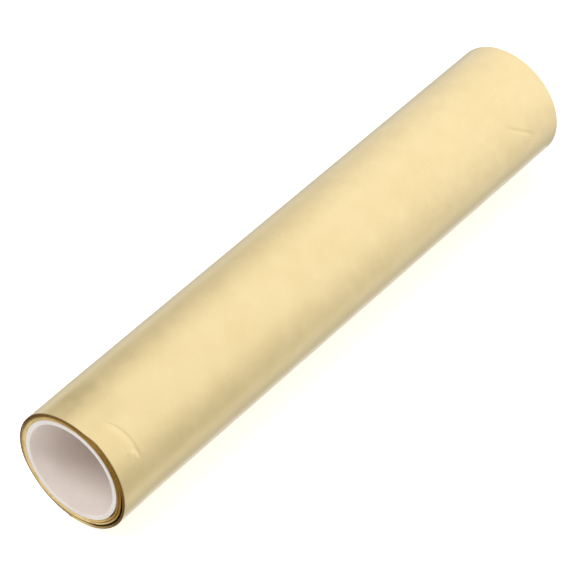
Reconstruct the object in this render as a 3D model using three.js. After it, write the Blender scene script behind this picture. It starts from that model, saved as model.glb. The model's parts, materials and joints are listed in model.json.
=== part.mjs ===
// A roll of self-adhesive sign vinyl: a web of gold film, adhesive and release liner, wound face out on
// a plastic core. Millimetres, +Z up, the roll's axis along X. The origin is under the middle of the roll,
// on the surface that it rests on.
//
// A place around the axis is a clock angle in degrees: 0 is the top, and it grows clockwise for a viewer
// who looks along +X. The web winds outwards in the same direction. A winding angle counts from the web's
// inner end and goes on through every turn.

import * as THREE from "three";

// Driving dimensions
const webWidth = 300;
const coreBoreRadius = 22.25;
const coreOuterRadius = 24.3;
const coreRimChamfer = 0.3;
const linerThickness = 0.14;
const adhesiveThickness = 0.03;
const filmThickness = 0.08;
const layerGap = 0.01;
const airBetweenWraps = 0.03;
const coreTapeThickness = 0.05;
const webEdgeInset = 0.2;
const restHeight = 28.2;

// Places around the roll, as clock angles. The tail flexes at its root and at every facet after it up to
// the last flexing line; beyond that line it keeps its curl.
const facetAngle = 10;
const webStart = 125;
const tailRoot = 115;
const flexingLines = 4;
const peelLine = 165;
const tailEnd = 185;
const fullTurnsUnderTail = 9;
const coreTapeSpan = 30;
const seamGap = 0.3;

// The web's section, counted outwards from the liner's inner face
const adhesiveIn = linerThickness + layerGap;
const filmIn = adhesiveIn + adhesiveThickness + layerGap;
const webThickness = filmIn + filmThickness;
const pitch = webThickness + airBetweenWraps;
const firstWrapRadius = coreOuterRadius + coreTapeThickness + 2 * layerGap;
const tailRootWinding = fullTurnsUnderTail * 360 + tailRoot - webStart;
const tailEndWinding = fullTurnsUnderTail * 360 + tailEnd - webStart;

// How the wound web has loosened. A lens is a gap under one wrap, whose rise and fall are winding angles.
// A spread is the same small gap under every wrap from one winding angle on, and its rise and fall are
// clock angles.
const lenses = [
  { rise: [305, 350], fall: [352, 372], height: 0.22 },
  { rise: [1385, 1415], fall: [1450, 1483], height: 0.28 },
  { rise: [2467, 2495], fall: [2555, 2630], height: 0.85 },
];
const spreads = [
  { rise: [15, 33], fall: [70, 100], height: 0.155, fromWinding: 0 },
  { rise: [225, 262], fall: [318, 352], height: 0.055, fromWinding: 0 },
  { rise: [70, 95], fall: [150, 205], height: 0.09, fromWinding: 2400 },
];
const stepRise = [310, 360];

const smooth = (x, [low, high]) => THREE.MathUtils.smoothstep(x, low, high);
const radians = THREE.MathUtils.degToRad;
const clockOf = (winding) => (webStart + winding) % 360;

// How far a gap is open at an angle.
function openness(gap, angle) {
  return gap.height * smooth(angle, gap.rise) * (1 - smooth(angle, gap.fall));
}

// Air under the web at a winding angle, beyond the air between tight wraps.
function slackUnder(winding) {
  const lensAir = lenses.map((lens) => openness(lens, winding));
  const loose = spreads.filter((spread) => winding >= spread.fromWinding);
  const spreadAir = loose.map((spread) => openness(spread, clockOf(winding)));
  return [...lensAir, ...spreadAir].reduce((sum, air) => sum + air, 0);
}

// Radius of the liner's inner face. Near the end of its first turn the web climbs onto its own inner end.
function linerRadius(winding) {
  if (winding >= 360) return linerRadius(winding - 360) + pitch + slackUnder(winding);
  return firstWrapRadius + pitch * smooth(winding, stepRise) + slackUnder(winding);
}

// The roll has settled onto a flat strip along the bottom, which is the last facet before the tail's end.
function webRadius(winding) {
  const flatFrom = tailEndWinding - facetAngle;
  if (winding < flatFrom) return linerRadius(winding);
  return restHeight / Math.cos(radians(facetAngle / 2)) - webThickness;
}

// A point in the section, as the (y, z) that the extrusion is turned to.
function sectionPoint(clock, radius) {
  const a = radians(clock);
  return new THREE.Vector2(-radius * Math.sin(a), radius * Math.cos(a));
}

// Winding angles from one place to another, with a step at every facet.
function stations(from, to) {
  const list = [from];
  for (let w = (Math.floor(from / facetAngle) + 1) * facetAngle; w < to; w += facetAngle) list.push(w);
  list.push(to);
  return list;
}

// The closed outline of a layer that runs between two offsets from the liner's inner face.
function layerOutline(from, to, inner, outer) {
  const path = stations(from, to);
  const outside = path.map((w) => sectionPoint(clockOf(w), webRadius(w) + outer));
  const inside = path.map((w) => sectionPoint(clockOf(w), webRadius(w) + inner));
  return new THREE.Shape([...outside, ...inside.reverse()]);
}

// Turns an extrusion's (x, y, depth) into the part's (y, z, x) and centres it on the roll's length.
function alongRoll(outline, length) {
  const geometry = new THREE.ExtrudeGeometry(outline, { depth: length, bevelEnabled: false });
  const turn = new THREE.Matrix4().makeBasis(
    new THREE.Vector3(0, 1, 0),
    new THREE.Vector3(0, 0, 1),
    new THREE.Vector3(1, 0, 0),
  );
  return geometry.translate(0, 0, -length / 2).applyMatrix4(turn);
}

const material = (color, roughness, metalness) =>
  new THREE.MeshStandardMaterial({ color, roughness, metalness });
const goldFilm = () => material(0xf3dca4, 0.28, 0.9);
const amberAdhesive = () => material(0x8a5a18, 0.35, 0);
const honeyLiner = () => material(0xc9a66b, 0.6, 0);
const whitePlastic = () => material(0xf0ebe8, 0.45, 0);
const tapeFilm = () => material(0xe6dcc0, 0.5, 0);

function addMesh(group, name, geometry, surface) {
  const mesh = new THREE.Mesh(geometry, surface);
  mesh.name = name;
  group.add(mesh);
}

// The three layers of the web over one stretch of the winding.
const filmLayer = (from, to) => layerOutline(from, to, filmIn, webThickness);
const adhesiveLayer = (from, to) => layerOutline(from, to, adhesiveIn, adhesiveIn + adhesiveThickness);
const linerLayer = (from, to) => layerOutline(from, to, 0, linerThickness);
const webLength = webWidth - 2 * webEdgeInset;

// Core tube: a wall with chamfered rims, its facets on the same rays as the web's.
function coreTube() {
  const half = webWidth / 2;
  const c = coreRimChamfer;
  const wall = [
    [coreBoreRadius, -half + c],
    [coreBoreRadius + c, -half],
    [coreOuterRadius - c, -half],
    [coreOuterRadius, -half + c],
    [coreOuterRadius, half - c],
    [coreOuterRadius - c, half],
    [coreBoreRadius + c, half],
    [coreBoreRadius, half - c],
    [coreBoreRadius, -half + c],
  ].map(([r, x]) => new THREE.Vector2(r, x));
  const facets = 360 / facetAngle;
  const geometry = new THREE.LatheGeometry(wall, facets, radians(facetAngle / 2));
  const lieDown = new THREE.Matrix4().makeBasis(
    new THREE.Vector3(0, 1, 0),
    new THREE.Vector3(1, 0, 0),
    new THREE.Vector3(0, 0, -1),
  );
  return geometry.applyMatrix4(lieDown);
}

// Core tape: a double-sided strip between the core and the first stretch of liner.
function coreTape() {
  const path = stations(0, coreTapeSpan);
  const inner = coreOuterRadius + layerGap;
  const outside = path.map((w) => sectionPoint(clockOf(w), inner + coreTapeThickness));
  const inside = path.map((w) => sectionPoint(clockOf(w), inner));
  return alongRoll(new THREE.Shape([...outside, ...inside.reverse()]), webLength);
}

// The winding angle just past a line where the web flexes, leaving a narrow seam.
function pastSeam(winding) {
  return winding + THREE.MathUtils.radToDeg(seamGap / webRadius(winding));
}

const peelLineWinding = tailRootWinding + peelLine - tailRoot;
const flexWinding = (line) => tailRootWinding + line * facetAngle;

const roll = new THREE.Group();

// The three layers of one stretch of web, as three meshes with the same ending to their names.
function addWeb(ending, filmSpan, linerSpan = filmSpan) {
  addMesh(roll, "film_" + ending, alongRoll(filmLayer(...filmSpan), webLength), goldFilm());
  addMesh(roll, "adhesive_" + ending, alongRoll(adhesiveLayer(...filmSpan), webLength), amberAdhesive());
  addMesh(roll, "liner_" + ending, alongRoll(linerLayer(...linerSpan), webLength), honeyLiner());
}

// Tail strips: one from each flexing line to the next. On the last one the liner runs on to the end,
// and the film and its adhesive stop where the film peels.
function addTail() {
  for (let line = 0; line < flexingLines - 1; line++) {
    addWeb("tail_" + (line + 1), [pastSeam(flexWinding(line)), flexWinding(line + 1)]);
  }
  const from = pastSeam(flexWinding(flexingLines - 1));
  addWeb("tail_" + flexingLines, [from, peelLineWinding], [from, tailEndWinding]);
}

// Peel edge: the last strip of film, which lifts off the liner and takes its adhesive with it.
function addPeelEdge() {
  const span = [pastSeam(peelLineWinding), tailEndWinding];
  addMesh(roll, "film_peel_edge", alongRoll(filmLayer(...span), webLength), goldFilm());
  addMesh(roll, "adhesive_peel_edge", alongRoll(adhesiveLayer(...span), webLength), amberAdhesive());
}

addMesh(roll, "core_tube", coreTube(), whitePlastic());
addMesh(roll, "core_tape", coreTape(), tapeFilm());
addWeb("wound", [0, tailRootWinding]);
addTail();
addPeelEdge();

// Stand the roll on its flat strip, with the middle of its footprint over the origin.
const reach = new THREE.Box3().setFromObject(roll, true);
roll.position.set(0, -(reach.min.y + reach.max.y) / 2, -reach.min.z);

export default roll;
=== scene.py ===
"""The looks of a roll of gold sign vinyl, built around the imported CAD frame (Blender 4.5)."""

import json
import math

import bpy
import numpy as np
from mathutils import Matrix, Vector


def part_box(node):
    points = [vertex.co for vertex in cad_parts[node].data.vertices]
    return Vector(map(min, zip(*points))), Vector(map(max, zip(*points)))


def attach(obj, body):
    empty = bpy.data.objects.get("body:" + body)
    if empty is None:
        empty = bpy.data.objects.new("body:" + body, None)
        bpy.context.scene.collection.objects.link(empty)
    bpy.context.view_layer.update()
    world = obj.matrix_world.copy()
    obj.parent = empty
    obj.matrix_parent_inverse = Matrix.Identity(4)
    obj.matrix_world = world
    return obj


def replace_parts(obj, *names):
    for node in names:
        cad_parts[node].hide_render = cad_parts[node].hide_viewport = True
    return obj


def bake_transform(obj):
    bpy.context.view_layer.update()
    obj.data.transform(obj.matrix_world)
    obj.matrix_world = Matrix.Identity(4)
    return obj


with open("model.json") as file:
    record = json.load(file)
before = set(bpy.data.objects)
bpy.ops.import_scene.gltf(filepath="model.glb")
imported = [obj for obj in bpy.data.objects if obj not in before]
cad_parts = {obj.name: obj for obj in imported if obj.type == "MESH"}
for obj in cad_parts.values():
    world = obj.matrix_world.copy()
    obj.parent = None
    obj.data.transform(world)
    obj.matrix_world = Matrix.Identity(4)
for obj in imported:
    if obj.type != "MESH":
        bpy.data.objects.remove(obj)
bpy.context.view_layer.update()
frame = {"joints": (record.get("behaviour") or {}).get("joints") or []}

MM = 0.001

# The roll's axis and ends, from the frame
core_low, core_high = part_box("core_tube")
axis_y = (core_low.y + core_high.y) / 2
axis_z = (core_low.z + core_high.z) / 2
half_length = (core_high.x - core_low.x) / 2
web_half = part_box("film_wound")[1].x
hinges = [joint["pos_m"] for joint in frame["joints"]]

# Layers and the core tape in millimetres, counted outwards from the liner's inner face, as in the CAD. The
# pitch is one web and the air over it. The outer turn is pressed flat between two clock angles.
LAYERS = {"liner": (0.0, 0.14), "adhesive": (0.15, 0.18), "film": (0.19, 0.27)}
SLOTS = {"liner": "honey_liner", "adhesive": "amber_adhesive", "film": "gold_film"}
WEB_THICKNESS = LAYERS["film"][1]
PITCH = 0.30
CORE_BORE = 22.25
CORE_RADIUS = 24.3
CORE_LIP = 0.35
CORE_TAPE = (-0.06, -0.01)
CORE_TAPE_SPAN = 30
FIRST_WRAP = 24.37
FLAT_HEIGHT = 28.2
PRESSED_FLAT = (170, 176)

# Places around the roll. A clock angle is 0 at the top and grows clockwise for a viewer who looks along
# +X. A winding angle counts from the web's inner end and goes on through every turn.
WEB_START = 125.0
FLEX_LINES = (115.0, 125.0, 135.0, 145.0)
PEEL_LINE = 165.0
TAIL_END = 185.0
BEND_SPAN = 10.0

# Winding angles. Adding a clock angle to LAST_TURN gives its place on the outer turn. The outer turn's own
# mesh starts far enough round that no point of it lies in the zone where the tail bends.
LAST_TURN = 9 * 360.0 - WEB_START
OUTER_START = LAST_TURN - 52.0
OUTERMOST = LAST_TURN + TAIL_END - 360.0

# How the wound web has loosened, as in the CAD: (rise, fall, height), then (..., first winding angle)
LENSES = (
    ((305, 350), (352, 372), 0.22),
    ((1385, 1415), (1450, 1483), 0.28),
    ((2467, 2495), (2555, 2630), 0.85),
)
SPREADS = (
    ((15, 33), (70, 100), 0.155, 0),
    ((225, 262), (318, 352), 0.055, 0),
    ((70, 95), (150, 205), 0.09, 2400),
)
STEP_RISE = (310, 360)

# Away from the near end the outer turn is rounder: (clock angle, film radius in millimetres). Then the
# clock angles at which this starts, is full, starts to fade and is gone, and the distances from the near
# end between which it grows.
ROUND_BODY = ((-50, 27.7), (0, 27.85), (45, 28.2), (90, 28.5), (130, 28.65))
BODY_FADE = (-100, -55, 130, 160)
BODY_RISE = (3.0, 26.0)

# Marks of handling on the outer turn. Distances along the roll are in millimetres from the near end.
# Creases: (points as (distance, clock angle), depth, widths before and after the line). Dents: (distance,
# clock angle, depth, reach along the roll, reach around it). A negative depth is a ridge or a bump.
CREASES = (
    (((10.8, 22), (12.0, 27.5), (13.5, 36.5), (14.2, 44), (14.5, 52), (14.3, 60)), 0.12, (2.0, 0.5)),
    (((267, 54), (281, 76)), 0.08, (1.5, 0.7)),
    (((232, -33), (218, -17)), 0.04, (1.5, 1.5)),
)
DENTS = (
    (9.2, 50, 0.05, 1.0, 0.7),
    (11.5, 51, 0.06, 0.9, 0.7),
    (13.2, 54, 0.06, 0.9, 0.8),
    (10.6, 55, -0.05, 1.2, 0.9),
    (12.7, 60, -0.05, 1.0, 1.3),
    (28, 103, 0.07, 2.5, 2.6),
    (104, 95, 0.06, 1.1, 1.1),
    (161, 100, 0.06, 2.4, 1.8),
    (258, 108, 0.08, 9.0, 3.5),
)

# Marks and waves come in over the first degrees of the outer turn and are gone at the second clock angle
MARKS_RISE = 10.0
MARKS_FADE = (140, 165)

# A crease fades out over these degrees outside its first and last points and inside them
CREASE_FADE = (6, 4)

# Slow waves in the film: how many, their height, the ranges of their lengths in millimetres and in degrees
# for each radian, the range of their phases, and the distances from the near end between which they grow
WAVE_SEED = 7
WAVE_COUNT = 9
WAVE_HEIGHT = 0.008
WAVE_LENGTHS = (3, 10)
WAVE_ANGLES = (5, 16)
WAVE_PHASES = (0, 6)
WAVE_RISE = (1, 8)

# At each end the inner wraps lie a little further in than the outer ones, in millimetres, and every wrap's
# edge wanders. Drifts: (share, radians for each degree of winding, multiple of the end's own phase).
TELESCOPING = 0.12
EDGE_WANDER = 0.02
EDGE_DRIFTS = ((1.0, 0.0061, 1), (0.6, 0.0173, 2))
EDGE_REACH = 4
NEAR_PHASE = 1.7
FAR_PHASE = 4.1

# How finely the meshes are cut: steps in degrees, the core's sides, the points of each rounded lip, and
# the angle between two faces above which their edge is sharp
INNER_STEP = 3
OUTER_STEP = 1.25
TAPE_STEP = 2.5
CORE_SIDES = 144
LIP_POINTS = 6
SHARP_ANGLE = 40

# Cut edges of the layers: (fresh colour, streak colour, colour where adhesive has bled over them, with
# painted shade)
EDGE_COLOURS = {
    "film": ((0.86, 0.67, 0.31), (0.55, 0.37, 0.11), (0.27, 0.135, 0.012)),
    "adhesive": ((0.46, 0.27, 0.05), (0.24, 0.12, 0.015), (0.20, 0.095, 0.007)),
    "liner": ((0.90, 0.70, 0.33), (0.66, 0.47, 0.17), (0.30, 0.155, 0.014)),
}

# Darkened sectors of the ends: (clock angles it starts between, clock angles it ends
# between, radii it deepens between in millimetres, strength). The bled edges are adhesive stain with
# painted shade over it where the loosened wraps lie recessed; the loose edges and the gaps are painted
# shade in deep, narrow gaps; the dark edges and the darker-outward edges grow darker outwards, and the rim
# is darker for most of the way round. The cut edges carry the same marks at both ends, and the rim is the
# outermost wrap's own cut edge. At the near end only, the face is the outermost film beside the rim, with
# adhesive stain and painted shade on it, and the gaps are the faces of the wraps under it.
BLED_AND_SHADED_EDGES = ((-70, 24), (105, 168), (22, 23), 0.97)
DARK_EDGES = ((-95, -60), (10, 34), (25.0, 26.5), 0.95)
DARKER_OUTWARD_EDGES = ((-180, -176), (-80, -50), (25.8, 27.2), 0.95)
SHADED_LOOSE_EDGES = ((70, 105), (128, 172), (26.3, 28.0), 0.6)
DARK_RIM = ((-178, -150), (150, 182), (20, 21), 0.75)
BLED_AND_SHADED_FACE = ((-75, -45), (85, 120), (20, 21), 0.95)
SHADED_GAPS = ((20, 60), (150, 172), (20, 21), 1.0)
DARK_COLOUR = (0.09, 0.042, 0.004)
BLED_SHADE_COLOUR = (0.22, 0.115, 0.008)

# How far in from the near edge the adhesive stain with painted shade on the outer face, and the painted
# shade in the gaps, reach, in millimetres
BLED_SHADE_REACH = 0.8
GAP_SHADE_REACH = 6.0

# Camera: angles in degrees, distances and shifts in metres, lens and sensor in millimetres
CAMERA_AZIMUTH = -51.39
CAMERA_ELEVATION = 42.91
CAMERA_DISTANCE = 1.4234
CAMERA_RIGHT = -0.0057
CAMERA_DOWN = 0.0060
CAMERA_LENS = 207.0
SENSOR_WIDTH = 36.0

# The floor's width in metres and the light that it gives off
FLOOR_SIZE = 12
FLOOR_GLOW = 0.55

# Area lights: (name, place, the point it faces, (width, height), radiance), with lengths in metres
LIGHTS = (
    ("near_end_light", (-0.60, 0.10, 1.15), (-0.15, 0, 0.03), (0.4, 0.4), 11.5),
    ("glow_under_edge", (0, -0.0185, 0.0008), (0, -0.0185, 1), (0.32, 0.016), 0.25),
)

# The studio's brightness along a tilted vertical, from -1 below to 1 above: on the side that the roll's
# near end points away from, where a bright band lies low down and a dark one over it; and further round
# beyond its far end, where it only brightens upwards. NEAR_SKY is how bright it is behind the camera. Each
# pair called FROM holds the directions' X parts between which one sky gives way to the next. The blue
# share is the brightness to the power of SKY_WARMTH, and the ramps hold brightness over SKY_STRENGTH.
SKY_TILT = (0.0, -0.4, 1.0)
SIDE_SKY = ((-0.75, 0.55), (-0.5, 0.8), (-0.2, 0.45), (0.2, 0.45), (0.75, 0.85))
END_SKY = ((-0.65, 0.55), (-0.4, 0.85), (0.1, 1.1))
SKY_WARMTH = 1.15
SKY_STRENGTH = 1.4
END_SKY_FROM = (0.5, 0.65)
NEAR_SKY = 0.6
NEAR_SKY_FROM = (0.25, 0.0)


# Shape of the web ------------------------------------------------------------------------------------


def smooth(x, low, high):
    t = np.clip((np.asarray(x, float) - low) / (high - low), 0, 1)
    return t * t * (3 - 2 * t)


def slack_under(winding):
    """Air under the web beyond the air between tight wraps, in millimetres."""
    clock = (WEB_START + winding) % 360
    slack = np.zeros_like(winding)
    for rise, fall, height in LENSES:
        slack += height * smooth(winding, *rise) * (1 - smooth(winding, *fall))
    for rise, fall, height, first in SPREADS:
        opened = height * smooth(clock, *rise) * (1 - smooth(clock, *fall))
        slack += np.where(winding >= first, opened, 0)
    return slack


def liner_radius(winding):
    """Radius of the liner's inner face at each winding angle, in millimetres."""
    turn_angle = np.array(winding, float)
    radius = np.full_like(turn_angle, FIRST_WRAP)
    while turn_angle.max() >= 360:
        later = turn_angle >= 360
        radius += np.where(later, PITCH + slack_under(turn_angle), 0)
        turn_angle = np.where(later, turn_angle - 360, turn_angle)
    return radius + PITCH * smooth(turn_angle, *STEP_RISE) + slack_under(turn_angle)


def web_radius(winding):
    """The liner's radius, with the tail's last strip flat where the roll rests on it."""
    clock = winding - LAST_TURN
    flat = FLAT_HEIGHT / np.cos(np.radians(clock - 180)) - WEB_THICKNESS
    pressed = smooth(clock, *PRESSED_FLAT)
    return liner_radius(winding) * (1 - pressed) + flat * pressed


def body_lift(clock):
    """How much further out the rounder body stands than the near end, in millimetres."""
    angles, radii = np.array(ROUND_BODY).T
    target = np.interp(clock, angles, radii)
    near_end = liner_radius(LAST_TURN + clock) + WEB_THICKNESS
    fade_in, full, begin_fade, gone = BODY_FADE
    share = smooth(clock, fade_in, full) * (1 - smooth(clock, begin_fade, gone))
    return (target - near_end) * share


def handling_marks(distance, clock):
    """Depth of the creases and dents, in millimetres."""
    depth = np.zeros_like(distance)
    outside, inside = CREASE_FADE
    for points, deep, (before, after) in CREASES:
        along, angles = np.array(points, float).T
        across = np.interp(clock, angles, along)
        begun = smooth(clock, angles[0] - outside, angles[0] + inside)
        not_over = smooth(clock, angles[-1] + outside, angles[-1] - inside)
        width = np.where(distance < across, before, after)
        depth += deep * (begun * not_over) * np.exp(-(((distance - across) / width) ** 2))
    for where, angle, deep, along, around in DENTS:
        arc = np.radians(clock - angle) * FLAT_HEIGHT
        depth += deep * np.exp(-(((distance - where) / along) ** 2) - (arc / around) ** 2)
    return depth


def waviness(distance, clock):
    """Slow waves that the film takes on as it is handled, in millimetres."""
    rng = np.random.default_rng(WAVE_SEED)
    wave = np.zeros_like(distance)
    for _ in range(WAVE_COUNT):
        along = distance / rng.uniform(*WAVE_LENGTHS) + rng.uniform(*WAVE_PHASES)
        around = clock / rng.uniform(*WAVE_ANGLES) + rng.uniform(*WAVE_PHASES)
        wave += np.sin(along) * np.sin(around)
    return WAVE_HEIGHT * wave


def relief(distance, winding):
    """How far the web stands off its regular winding, in millimetres."""
    clock = winding - LAST_TURN
    turn_clock = (clock + 180) % 360 - 180
    share = np.clip(winding / OUTER_START, 0, 1)
    lift = body_lift(turn_clock) * share * smooth(distance, *BODY_RISE)
    full, gone = MARKS_FADE
    outer = smooth(winding, OUTER_START, OUTER_START + MARKS_RISE) * smooth(clock, gone, full)
    waves = waviness(distance, clock) * smooth(distance, *WAVE_RISE)
    return lift + outer * (waves - handling_marks(distance, clock))


def place(x, clock, radius):
    """Points in metres from x in metres, clock angle in degrees and radius in millimetres."""
    a = np.radians(clock)
    return np.stack([x, axis_y - radius * MM * np.sin(a), axis_z + radius * MM * np.cos(a)], axis=-1)


def edge_shift(winding, phase):
    """How far a wrap's edge is drawn in, in metres: the inner wraps furthest, and none quite evenly."""
    drift = sum(share * np.sin(winding * rate + times * phase) for share, rate, times in EDGE_DRIFTS)
    return (TELESCOPING * (1 - winding / OUTER_START) + EDGE_WANDER * drift) * MM


def spaced(start, end, step):
    return np.linspace(start, end, max(2, round((end - start) / step) + 1))


def columns_along(fine):
    """Distances from the near end at which a strip has vertices: close together at its ends and marks."""
    width = 2 * web_half / MM
    rims = [0, 0.5, 1.2, 2.2, 3.2, 4.2, width - 4.2, width - 2]
    if not fine:
        between = [6, 9, 12, 15, 18, 22, 26, 34, width / 2, width - 60, width]
        return np.array(sorted(rims + between))
    near_marks = [(4.8, 8, 0.6), (8.3, 16.4, 0.3), (17, 26, 0.6), (26, 32, 0.8)]
    body = [(32, width - 6, 2.6)]
    far_marks = [(102, 106, 0.5), (157, 165, 0.8), (215, 235, 0.8), (264, 284, 0.8)]
    places = np.concatenate([rims] + [spaced(*span) for span in near_marks + body + far_marks])
    return np.append(np.unique(np.round(places, 1)), width)


def mesh_object(name, verts, faces, smooth_faces, materials, material_index):
    mesh = bpy.data.meshes.new(name)
    mesh.from_pydata(verts.tolist(), [], faces.tolist())
    mesh.polygons.foreach_set("use_smooth", smooth_faces)
    for material in materials:
        mesh.materials.append(material)
    mesh.polygons.foreach_set("material_index", material_index)
    mesh.update()
    mesh.set_sharp_from_angle(angle=math.radians(SHARP_ANGLE))
    piece = bpy.data.objects.new(name, mesh)
    bpy.context.scene.collection.objects.link(piece)
    return piece


def strip(name, windings, columns, layer, materials, buried=()):
    """A closed strip of one layer, with materials for its outer face, inner face and cut edges. Buried
    holds the same three for the wraps that lie under the outermost one."""
    w = np.repeat(windings[:, None], len(columns), axis=1)
    distance = np.repeat(columns[None, :], len(windings), axis=0)
    near = smooth(distance, EDGE_REACH, 0)
    far = smooth(distance, columns[-1] - EDGE_REACH, columns[-1])
    x = distance * MM - web_half + edge_shift(w, NEAR_PHASE) * near - edge_shift(w, FAR_PHASE) * far
    radius = web_radius(w) + relief(distance, w)
    inner, outer = (place(x, WEB_START + w, radius + face).reshape(-1, 3) for face in layer)
    index = np.arange(w.size).reshape(w.shape)
    corners = (index[:-1, :-1], index[:-1, 1:], index[1:, 1:], index[1:, :-1])
    a, b, c, d = (corner.ravel() for corner in corners)
    outer_faces = np.stack([a, d, c, b], 1) + w.size
    inner_faces = np.stack([a, b, c, d], 1)
    rims = [index[0, ::-1], index[:, 0], index[-1, :], index[::-1, -1]]
    rim_faces = [np.stack([r[:-1], r[1:], r[1:] + w.size, r[:-1] + w.size], 1) for r in rims]
    faces = np.concatenate([outer_faces, inner_faces] + rim_faces)
    material_index = np.full(len(faces), 2)
    material_index[: len(a)] = 0
    material_index[len(a) : 2 * len(a)] = 1
    smooth_faces = material_index < 2
    if buried:
        material_index[w.ravel()[faces[:, 0] % w.size] < OUTERMOST] += 3
    verts = np.concatenate([inner, outer])
    return mesh_object(name, verts, faces, smooth_faces, [*materials, *buried], material_index)


# Materials -------------------------------------------------------------------------------------------


class Look:
    """A node material under construction. Sizes are in millimetres."""

    def __init__(self, name, metallic=0.0, coat=0.0, coat_roughness=0.1, specular=0.5):
        self.material = bpy.data.materials.new(name)
        self.material.use_nodes = True
        self.nodes = self.material.node_tree.nodes
        self.links = self.material.node_tree.links
        self.shader = self.nodes["Principled BSDF"]
        self.shader.inputs["Metallic"].default_value = metallic
        self.shader.inputs["Coat Weight"].default_value = coat
        self.shader.inputs["Coat Roughness"].default_value = coat_roughness
        self.shader.inputs["Specular IOR Level"].default_value = specular
        self.where = self.nodes.new("ShaderNodeTexCoord").outputs["Object"]

    def put(self, socket, value):
        if isinstance(value, bpy.types.NodeSocket):
            self.links.new(value, socket)
        elif isinstance(value, tuple):
            socket.default_value = (*value, 1)
        else:
            socket.default_value = value

    def noise(self, size, detail=3.0, stretch=(1, 1, 1)):
        """Noise whose features are about size across, times stretch along each axis."""
        scaled = self.nodes.new("ShaderNodeMapping")
        scaled.inputs["Scale"].default_value = [1 / (size * MM * s) for s in stretch]
        self.links.new(self.where, scaled.inputs["Vector"])
        texture = self.nodes.new("ShaderNodeTexNoise")
        texture.inputs["Scale"].default_value = 1.0
        texture.inputs["Detail"].default_value = detail
        self.links.new(scaled.outputs["Vector"], texture.inputs["Vector"])
        return texture.outputs["Fac"]

    def span(self, value, low, high, to_low=0.0, to_high=1.0):
        """Carries value from low..high to to_low..to_high, with soft ends."""
        node = self.nodes.new("ShaderNodeMapRange")
        node.interpolation_type = "SMOOTHSTEP"
        for name, part in zip(("From Min", "From Max", "To Min", "To Max"), (low, high, to_low, to_high)):
            node.inputs[name].default_value = part
        self.links.new(value, node.inputs["Value"])
        return node.outputs["Result"]

    def patches(self, size, detail=4.0):
        return self.span(self.noise(size, detail), 0.32, 0.68)

    def math(self, operation, first, second=0.0):
        node = self.nodes.new("ShaderNodeMath")
        node.operation = operation
        self.put(node.inputs[0], first)
        self.put(node.inputs[1], second)
        return node.outputs[0]

    def mix(self, share, first, second):
        node = self.nodes.new("ShaderNodeMixRGB")
        self.put(node.inputs["Fac"], share)
        self.put(node.inputs["Color1"], first)
        self.put(node.inputs["Color2"], second)
        return node.outputs["Color"]

    def bump(self, height, depth, below=None):
        """A surface raised by height times depth, on top of the bump below."""
        node = self.nodes.new("ShaderNodeBump")
        node.inputs["Distance"].default_value = depth * MM
        self.links.new(height, node.inputs["Height"])
        if below is not None:
            self.links.new(below, node.inputs["Normal"])
        return node.outputs["Normal"]

    def around_axis(self):
        """Clock angle in degrees and radius in millimetres about the roll's axis."""
        split = self.nodes.new("ShaderNodeSeparateXYZ")
        self.links.new(self.where, split.inputs["Vector"])
        across = self.math("SUBTRACT", axis_y, split.outputs["Y"])
        up = self.math("SUBTRACT", split.outputs["Z"], axis_z)
        clock = self.math("DEGREES", self.math("ARCTAN2", across, up))
        square = self.math("ADD", self.math("POWER", across, 2.0), self.math("POWER", up, 2.0))
        return clock, self.math("DIVIDE", self.math("SQRT", square), MM)

    def sector(self, starts, ends, radii, strength):
        """A soft mask over part of a ring."""
        clock, radius = self.around_axis()
        begun = self.span(clock, *starts)
        not_over = self.span(clock, *ends, strength, 0.0)
        return self.math("MULTIPLY", self.math("MULTIPLY", begun, not_over), self.span(radius, *radii))

    def near_edge(self, reach):
        """A mask that grows over the last few millimetres before the web's near edge."""
        split = self.nodes.new("ShaderNodeSeparateXYZ")
        self.links.new(self.where, split.inputs["Vector"])
        return self.span(split.outputs["X"], -web_half, reach * MM - web_half, 1.0, 0.0)

    def shade_in_gaps(self, colour):
        """The colour, with painted shade in the gaps between the wraps at the near end."""
        gap_shade_mask = self.math("MULTIPLY", self.near_edge(GAP_SHADE_REACH), self.sector(*SHADED_GAPS))
        return self.mix(gap_shade_mask, colour, DARK_COLOUR)

    def finish(self, colour, roughness, normal):
        self.put(self.shader.inputs["Base Color"], colour)
        self.put(self.shader.inputs["Roughness"], roughness)
        self.links.new(normal, self.shader.inputs["Normal"])
        return self.material


def gold_face(buried=False):
    """The gold face. On a buried wrap it carries painted shade in the gaps at the near end; elsewhere,
    adhesive stain with painted shade beside the near edge.
    """
    name = "gold_film_face_buried_shaded" if buried else "gold_film_face"
    look = Look(name, metallic=1.0, coat=0.8, coat_roughness=0.2)
    colour = look.mix(look.patches(22), (0.955, 0.76, 0.395), (0.985, 0.79, 0.425))
    if buried:
        # Painted shade in the gaps between the buried wraps at the near end
        colour = look.shade_in_gaps(colour)
    else:
        # Adhesive stain with painted shade along the outer face's near edge
        bled_shade = look.math("MULTIPLY", look.near_edge(BLED_SHADE_REACH), look.sector(*BLED_AND_SHADED_FACE))
        colour = look.mix(bled_shade, colour, BLED_SHADE_COLOUR)
    roughness = look.span(look.noise(7, 5), 0.3, 0.7, 0.27, 0.36)
    slow = look.bump(look.noise(9, 2), 0.10)
    return look.finish(colour, roughness, look.bump(look.noise(1.6, 4), 0.006, slow))


def gold_back():
    look = Look("gold_film_back", metallic=1.0)
    colour = look.mix(look.patches(9), (0.72, 0.53, 0.24), (0.62, 0.44, 0.18))
    roughness = look.span(look.noise(4), 0.3, 0.7, 0.35, 0.5)
    return look.finish(colour, roughness, look.bump(look.noise(0.5), 0.006))


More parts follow.
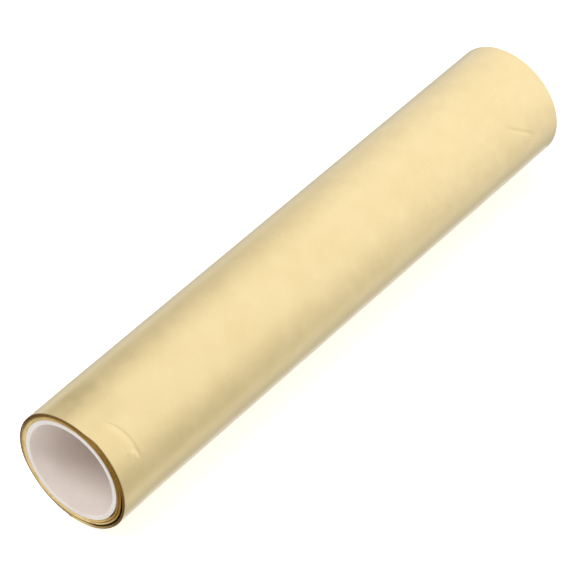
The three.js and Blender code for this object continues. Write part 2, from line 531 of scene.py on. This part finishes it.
def cut_edge(layer, buried=False):
    """A slit edge, streaked around the roll, with adhesive bled over one side of it and painted shade
    there, painted shade in the loose wraps' gaps, and sectors that grow darker outwards.
    """
    fresh, streaked, bled_shade = EDGE_COLOURS[layer]
    look = Look(layer + ("_edge_buried" if buried else "_edge"), specular=0.05)
    streak = look.span(look.noise(0.5, 4, stretch=(1, 3, 3)), 0.35, 0.65)
    colour = look.mix(look.math("MULTIPLY", streak, look.patches(6)), fresh, streaked)
    # Adhesive stain with painted shade where the loosened wraps lie recessed
    colour = look.mix(look.sector(*BLED_AND_SHADED_EDGES), colour, bled_shade)
    # Painted shade on the edges in the loose wraps' gaps, and sectors that grow darker outwards
    for dark_sector in (DARKER_OUTWARD_EDGES, DARK_EDGES, SHADED_LOOSE_EDGES):
        colour = look.mix(look.sector(*dark_sector), colour, DARK_COLOUR)
    if not buried:
        colour = look.mix(look.sector(*DARK_RIM), colour, DARK_COLOUR)
    return look.finish(colour, look.span(streak, 0, 1, 0.5, 0.7), look.bump(look.noise(0.12), 0.02))


def adhesive_face():
    look = Look("adhesive_face", coat=0.6, coat_roughness=0.12)
    thick = look.patches(5)
    colour = look.mix(thick, (0.50, 0.29, 0.08), (0.36, 0.18, 0.04))
    return look.finish(colour, look.span(thick, 0, 1, 0.25, 0.4), look.bump(look.noise(1.2, 2), 0.02))


def liner_face():
    look = Look("liner_release_face", coat=0.4, coat_roughness=0.25)
    fibre = look.noise(0.8, 6, stretch=(4, 1, 1))
    colour = look.mix(look.patches(12), (0.62, 0.42, 0.19), (0.70, 0.50, 0.25))
    return look.finish(colour, look.span(fibre, 0.3, 0.7, 0.4, 0.55), look.bump(fibre, 0.01))


def liner_back(buried=False):
    """The paper back. On a buried wrap it carries painted shade in the gaps at the near end."""
    look = Look("liner_paper_back_buried_shaded" if buried else "liner_paper_back")
    fibre = look.noise(0.7, 7, stretch=(5, 1, 1))
    speck = look.span(look.noise(0.4, 2), 0.66, 0.74, 0.0, 0.35)
    paper = look.mix(look.span(fibre, 0.3, 0.7), (0.66, 0.49, 0.27), (0.77, 0.60, 0.36))
    colour = look.mix(speck, paper, (0.42, 0.28, 0.12))
    if buried:
        # Painted shade in the gaps between the buried wraps at the near end
        colour = look.shade_in_gaps(colour)
    return look.finish(colour, look.span(fibre, 0.3, 0.7, 0.65, 0.8), look.bump(fibre, 0.03))


def core_plastic():
    look = Look("core_plastic")
    colour = look.mix(look.patches(14), (0.645, 0.61, 0.575), (0.675, 0.64, 0.605))
    _, radius = look.around_axis()
    # The bore is the same plastic as the ends and outside: it is painted lighter and they darker, painted
    # light that evens out how strongly the lamps reach them
    bore = look.mix(look.patches(14), (0.81, 0.725, 0.67), (0.85, 0.765, 0.71))
    colour = look.mix(look.span(radius, CORE_BORE + 0.05, CORE_BORE + CORE_LIP), bore, colour)
    die_lines = look.bump(look.noise(0.6, stretch=(60, 1, 1)), 0.03)
    grain = look.bump(look.noise(0.3), 0.01, die_lines)
    return look.finish(colour, look.span(look.noise(3), 0.3, 0.7, 0.38, 0.52), grain)


def tape_film():
    look = Look("core_tape", coat=0.3, coat_roughness=0.2)
    cloud = look.patches(4)
    colour = look.mix(cloud, (0.80, 0.73, 0.58), (0.86, 0.80, 0.68))
    return look.finish(colour, look.span(cloud, 0, 1, 0.35, 0.5), look.bump(look.noise(0.9), 0.02))


def floor_surface():
    look = Look("floor", specular=0.0)
    look.shader.inputs["Emission Color"].default_value = (1, 1, 1, 1)
    look.shader.inputs["Emission Strength"].default_value = FLOOR_GLOW
    colour = look.mix(look.patches(300), (0.86, 0.86, 0.86), (0.87, 0.87, 0.87))
    return look.finish(colour, look.span(look.noise(40), 0, 1, 0.85, 0.95), look.bump(look.noise(3), 0.01))


# Pieces ----------------------------------------------------------------------------------------------


def core_tube():
    """The core: a tube with rounded lips, turned about the roll's axis."""
    end = half_length / MM
    bend = [(1 - math.sin(a), 1 - math.cos(a)) for a in np.radians(np.linspace(0, 90, LIP_POINTS))]
    inner_lip = [(CORE_LIP * p - end, CORE_BORE + CORE_LIP * q) for p, q in bend]
    outer_lip = [(CORE_LIP * q - end, CORE_RADIUS - CORE_LIP * p) for p, q in bend]
    near_end = inner_lip + outer_lip
    profile = np.array(near_end + [(-x, r) for x, r in reversed(near_end)])
    x = np.tile(profile[:, 0] * MM, (CORE_SIDES, 1))
    radius = np.tile(profile[:, 1], (CORE_SIDES, 1))
    clock = np.repeat(np.arange(CORE_SIDES)[:, None] * 360 / CORE_SIDES, len(profile), axis=1)
    verts = place(x, clock, radius).reshape(-1, 3)
    a = np.arange(len(verts)).reshape(CORE_SIDES, len(profile))
    b = np.roll(a, -1, axis=1)
    c, d = np.roll(b, -1, axis=0), np.roll(a, -1, axis=0)
    faces = np.stack([corner.ravel() for corner in (a, d, c, b)], 1)
    flags = np.ones(len(faces), bool)
    tube = mesh_object("core_tube_body", verts, faces, flags, [core_plastic()], np.zeros(len(faces), int))
    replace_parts(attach(tube, "roll"), "core_tube")


def core_tape():
    """The tape that holds the web's inner end, between the core and the first liner."""
    windings = spaced(0, CORE_TAPE_SPAN, TAPE_STEP)
    tape = strip("core_tape_strip", windings, columns_along(fine=False), CORE_TAPE, [tape_film()] * 3)
    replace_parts(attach(tape, "roll"), "core_tape")


def web_layer(layer, materials, buried):
    """One layer of the web, from its inner end to the tail's end."""
    fine, coarse = columns_along(fine=True), columns_along(fine=False)
    faces, slot = LAYERS[layer], SLOTS[layer]

    inner_rows = spaced(0, OUTER_START, INNER_STEP)
    inner = strip(layer + "_inner_turns", inner_rows, coarse, faces, materials, buried)
    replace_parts(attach(inner, "roll"), layer + "_wound")

    outer_rows = spaced(OUTER_START, LAST_TURN + FLEX_LINES[1], OUTER_STEP)
    outer = strip(layer + "_outer_turn", outer_rows, fine, faces, materials)
    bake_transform(outer)
    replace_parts(outer, layer + "_tail_1")

    last = TAIL_END if layer == "liner" else PEEL_LINE
    edges = [*FLEX_LINES[1:], last]
    for number, (start, end) in enumerate(zip(edges, edges[1:]), 2):
        rows = spaced(LAST_TURN + start, LAST_TURN + end, OUTER_STEP)
        tail = strip(f"{layer}_tail_{number}", rows, fine, faces, materials)
        before, after = hinges[number - 1], tail_bend_end(number)
        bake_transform(tail)
        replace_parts(tail, f"{layer}_tail_{number}")

    if layer != "liner":
        rows = spaced(LAST_TURN + PEEL_LINE, LAST_TURN + TAIL_END, OUTER_STEP)
        peel = strip(layer + "_peel_strip", rows, fine, faces, materials)
        on_film(PEEL_LINE + BEND_SPAN)
        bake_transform(peel)
        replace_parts(peel, layer + "_peel_edge")


def on_film(clock):
    """A point of the film's outer face on the outer turn, in the middle of the roll's length."""
    w = np.array([LAST_TURN + clock])
    return place(np.zeros(1), WEB_START + w, web_radius(w) + WEB_THICKNESS)[0]


def tail_bend_end(number):
    """Where a tail strip has turned fully with its own body."""
    if number < len(FLEX_LINES):
        return hinges[number]
    return on_film(FLEX_LINES[-1] + BEND_SPAN)


def add_floor():
    bpy.ops.mesh.primitive_plane_add(size=FLOOR_SIZE, location=(0, 0, 0))
    floor = bpy.context.object
    floor.name = "floor"
    floor.data.materials.append(floor_surface())
    floor.visible_glossy = False


def add_softbox(name, location, target, size, radiance):
    """An area light that shows as a panel of the given radiance in a mirror."""
    data = bpy.data.lights.new(name, "AREA")
    data.shape = "RECTANGLE"
    data.size, data.size_y = size
    data.energy = radiance * math.pi * size[0] * size[1]
    light = bpy.data.objects.new(name, data)
    light.location = location
    light.rotation_euler = (Vector(target) - Vector(location)).to_track_quat("-Z", "Y").to_euler()
    bpy.context.scene.collection.objects.link(light)


def add_world():
    """A soft studio whose brightness depends on the direction only."""
    world = bpy.data.worlds.new("studio")
    world.use_nodes = True
    nodes, links = world.node_tree.nodes, world.node_tree.links
    direction = nodes.new("ShaderNodeTexCoord").outputs["Generated"]
    split = nodes.new("ShaderNodeSeparateXYZ")
    links.new(direction, split.inputs["Vector"])

    tilted = nodes.new("ShaderNodeVectorMath")
    tilted.operation = "DOT_PRODUCT"
    tilted.inputs[1].default_value = SKY_TILT
    links.new(direction, tilted.inputs[0])

    def remap(value, low, high):
        node = nodes.new("ShaderNodeMapRange")
        node.inputs["From Min"].default_value = low
        node.inputs["From Max"].default_value = high
        links.new(value, node.inputs["Value"])
        return node.outputs["Result"]

    def sky(stops):
        node = nodes.new("ShaderNodeValToRGB")
        points = node.color_ramp.elements
        while len(points) < len(stops):
            points.new(0.5)
        for point, (height, radiance) in zip(points, stops):
            point.position = (height + 1) / 2
            tint = (radiance, radiance, radiance**SKY_WARMTH)
            point.color = (*(part / SKY_STRENGTH for part in tint), 1)
        links.new(remap(tilted.outputs["Value"], -1, 1), node.inputs["Fac"])
        return node.outputs["Color"]

    def mix(share, first, second):
        node = nodes.new("ShaderNodeMixRGB")
        links.new(share, node.inputs["Fac"])
        links.new(first, node.inputs["Color1"])
        if isinstance(second, float):
            node.inputs["Color2"].default_value = (second, second, second, 1)
        else:
            links.new(second, node.inputs["Color2"])
        return node.outputs["Color"]

    far_half = mix(remap(split.outputs["X"], *END_SKY_FROM), sky(SIDE_SKY), sky(END_SKY))
    whole = mix(remap(split.outputs["X"], *NEAR_SKY_FROM), far_half, NEAR_SKY / SKY_STRENGTH)
    links.new(whole, nodes["Background"].inputs["Color"])
    nodes["Background"].inputs["Strength"].default_value = SKY_STRENGTH
    bpy.context.scene.world = world


def add_camera():
    azimuth, elevation = math.radians(CAMERA_AZIMUTH), math.radians(CAMERA_ELEVATION)
    flat = math.cos(elevation)
    back = Vector((math.sin(azimuth) * flat, -math.cos(azimuth) * flat, math.sin(elevation)))
    turn = (-back).to_track_quat("-Z", "Y")
    right, down = turn @ Vector((1, 0, 0)), turn @ Vector((0, -1, 0))
    data = bpy.data.cameras.new("camera")
    data.lens, data.sensor_width = CAMERA_LENS, SENSOR_WIDTH
    camera = bpy.data.objects.new("camera", data)
    middle = Vector((0, axis_y, axis_z))
    camera.location = middle + back * CAMERA_DISTANCE + right * CAMERA_RIGHT + down * CAMERA_DOWN
    camera.rotation_mode = "QUATERNION"
    camera.rotation_quaternion = turn
    bpy.context.scene.collection.objects.link(camera)
    bpy.context.scene.camera = camera


core_tube()
core_tape()
web_layer(
    "film",
    [gold_face(), gold_back(), cut_edge("film")],
    [gold_face(buried=True), gold_back(), cut_edge("film", buried=True)],
)
web_layer(
    "adhesive",
    [adhesive_face(), adhesive_face(), cut_edge("adhesive")],
    [adhesive_face(), adhesive_face(), cut_edge("adhesive", buried=True)],
)
web_layer(
    "liner",
    [liner_face(), liner_back(), cut_edge("liner")],
    [liner_face(), liner_back(buried=True), cut_edge("liner", buried=True)],
)

add_floor()
add_world()
for light in LIGHTS:
    add_softbox(*light)
add_camera()
bpy.context.scene.view_settings.view_transform = "Standard"
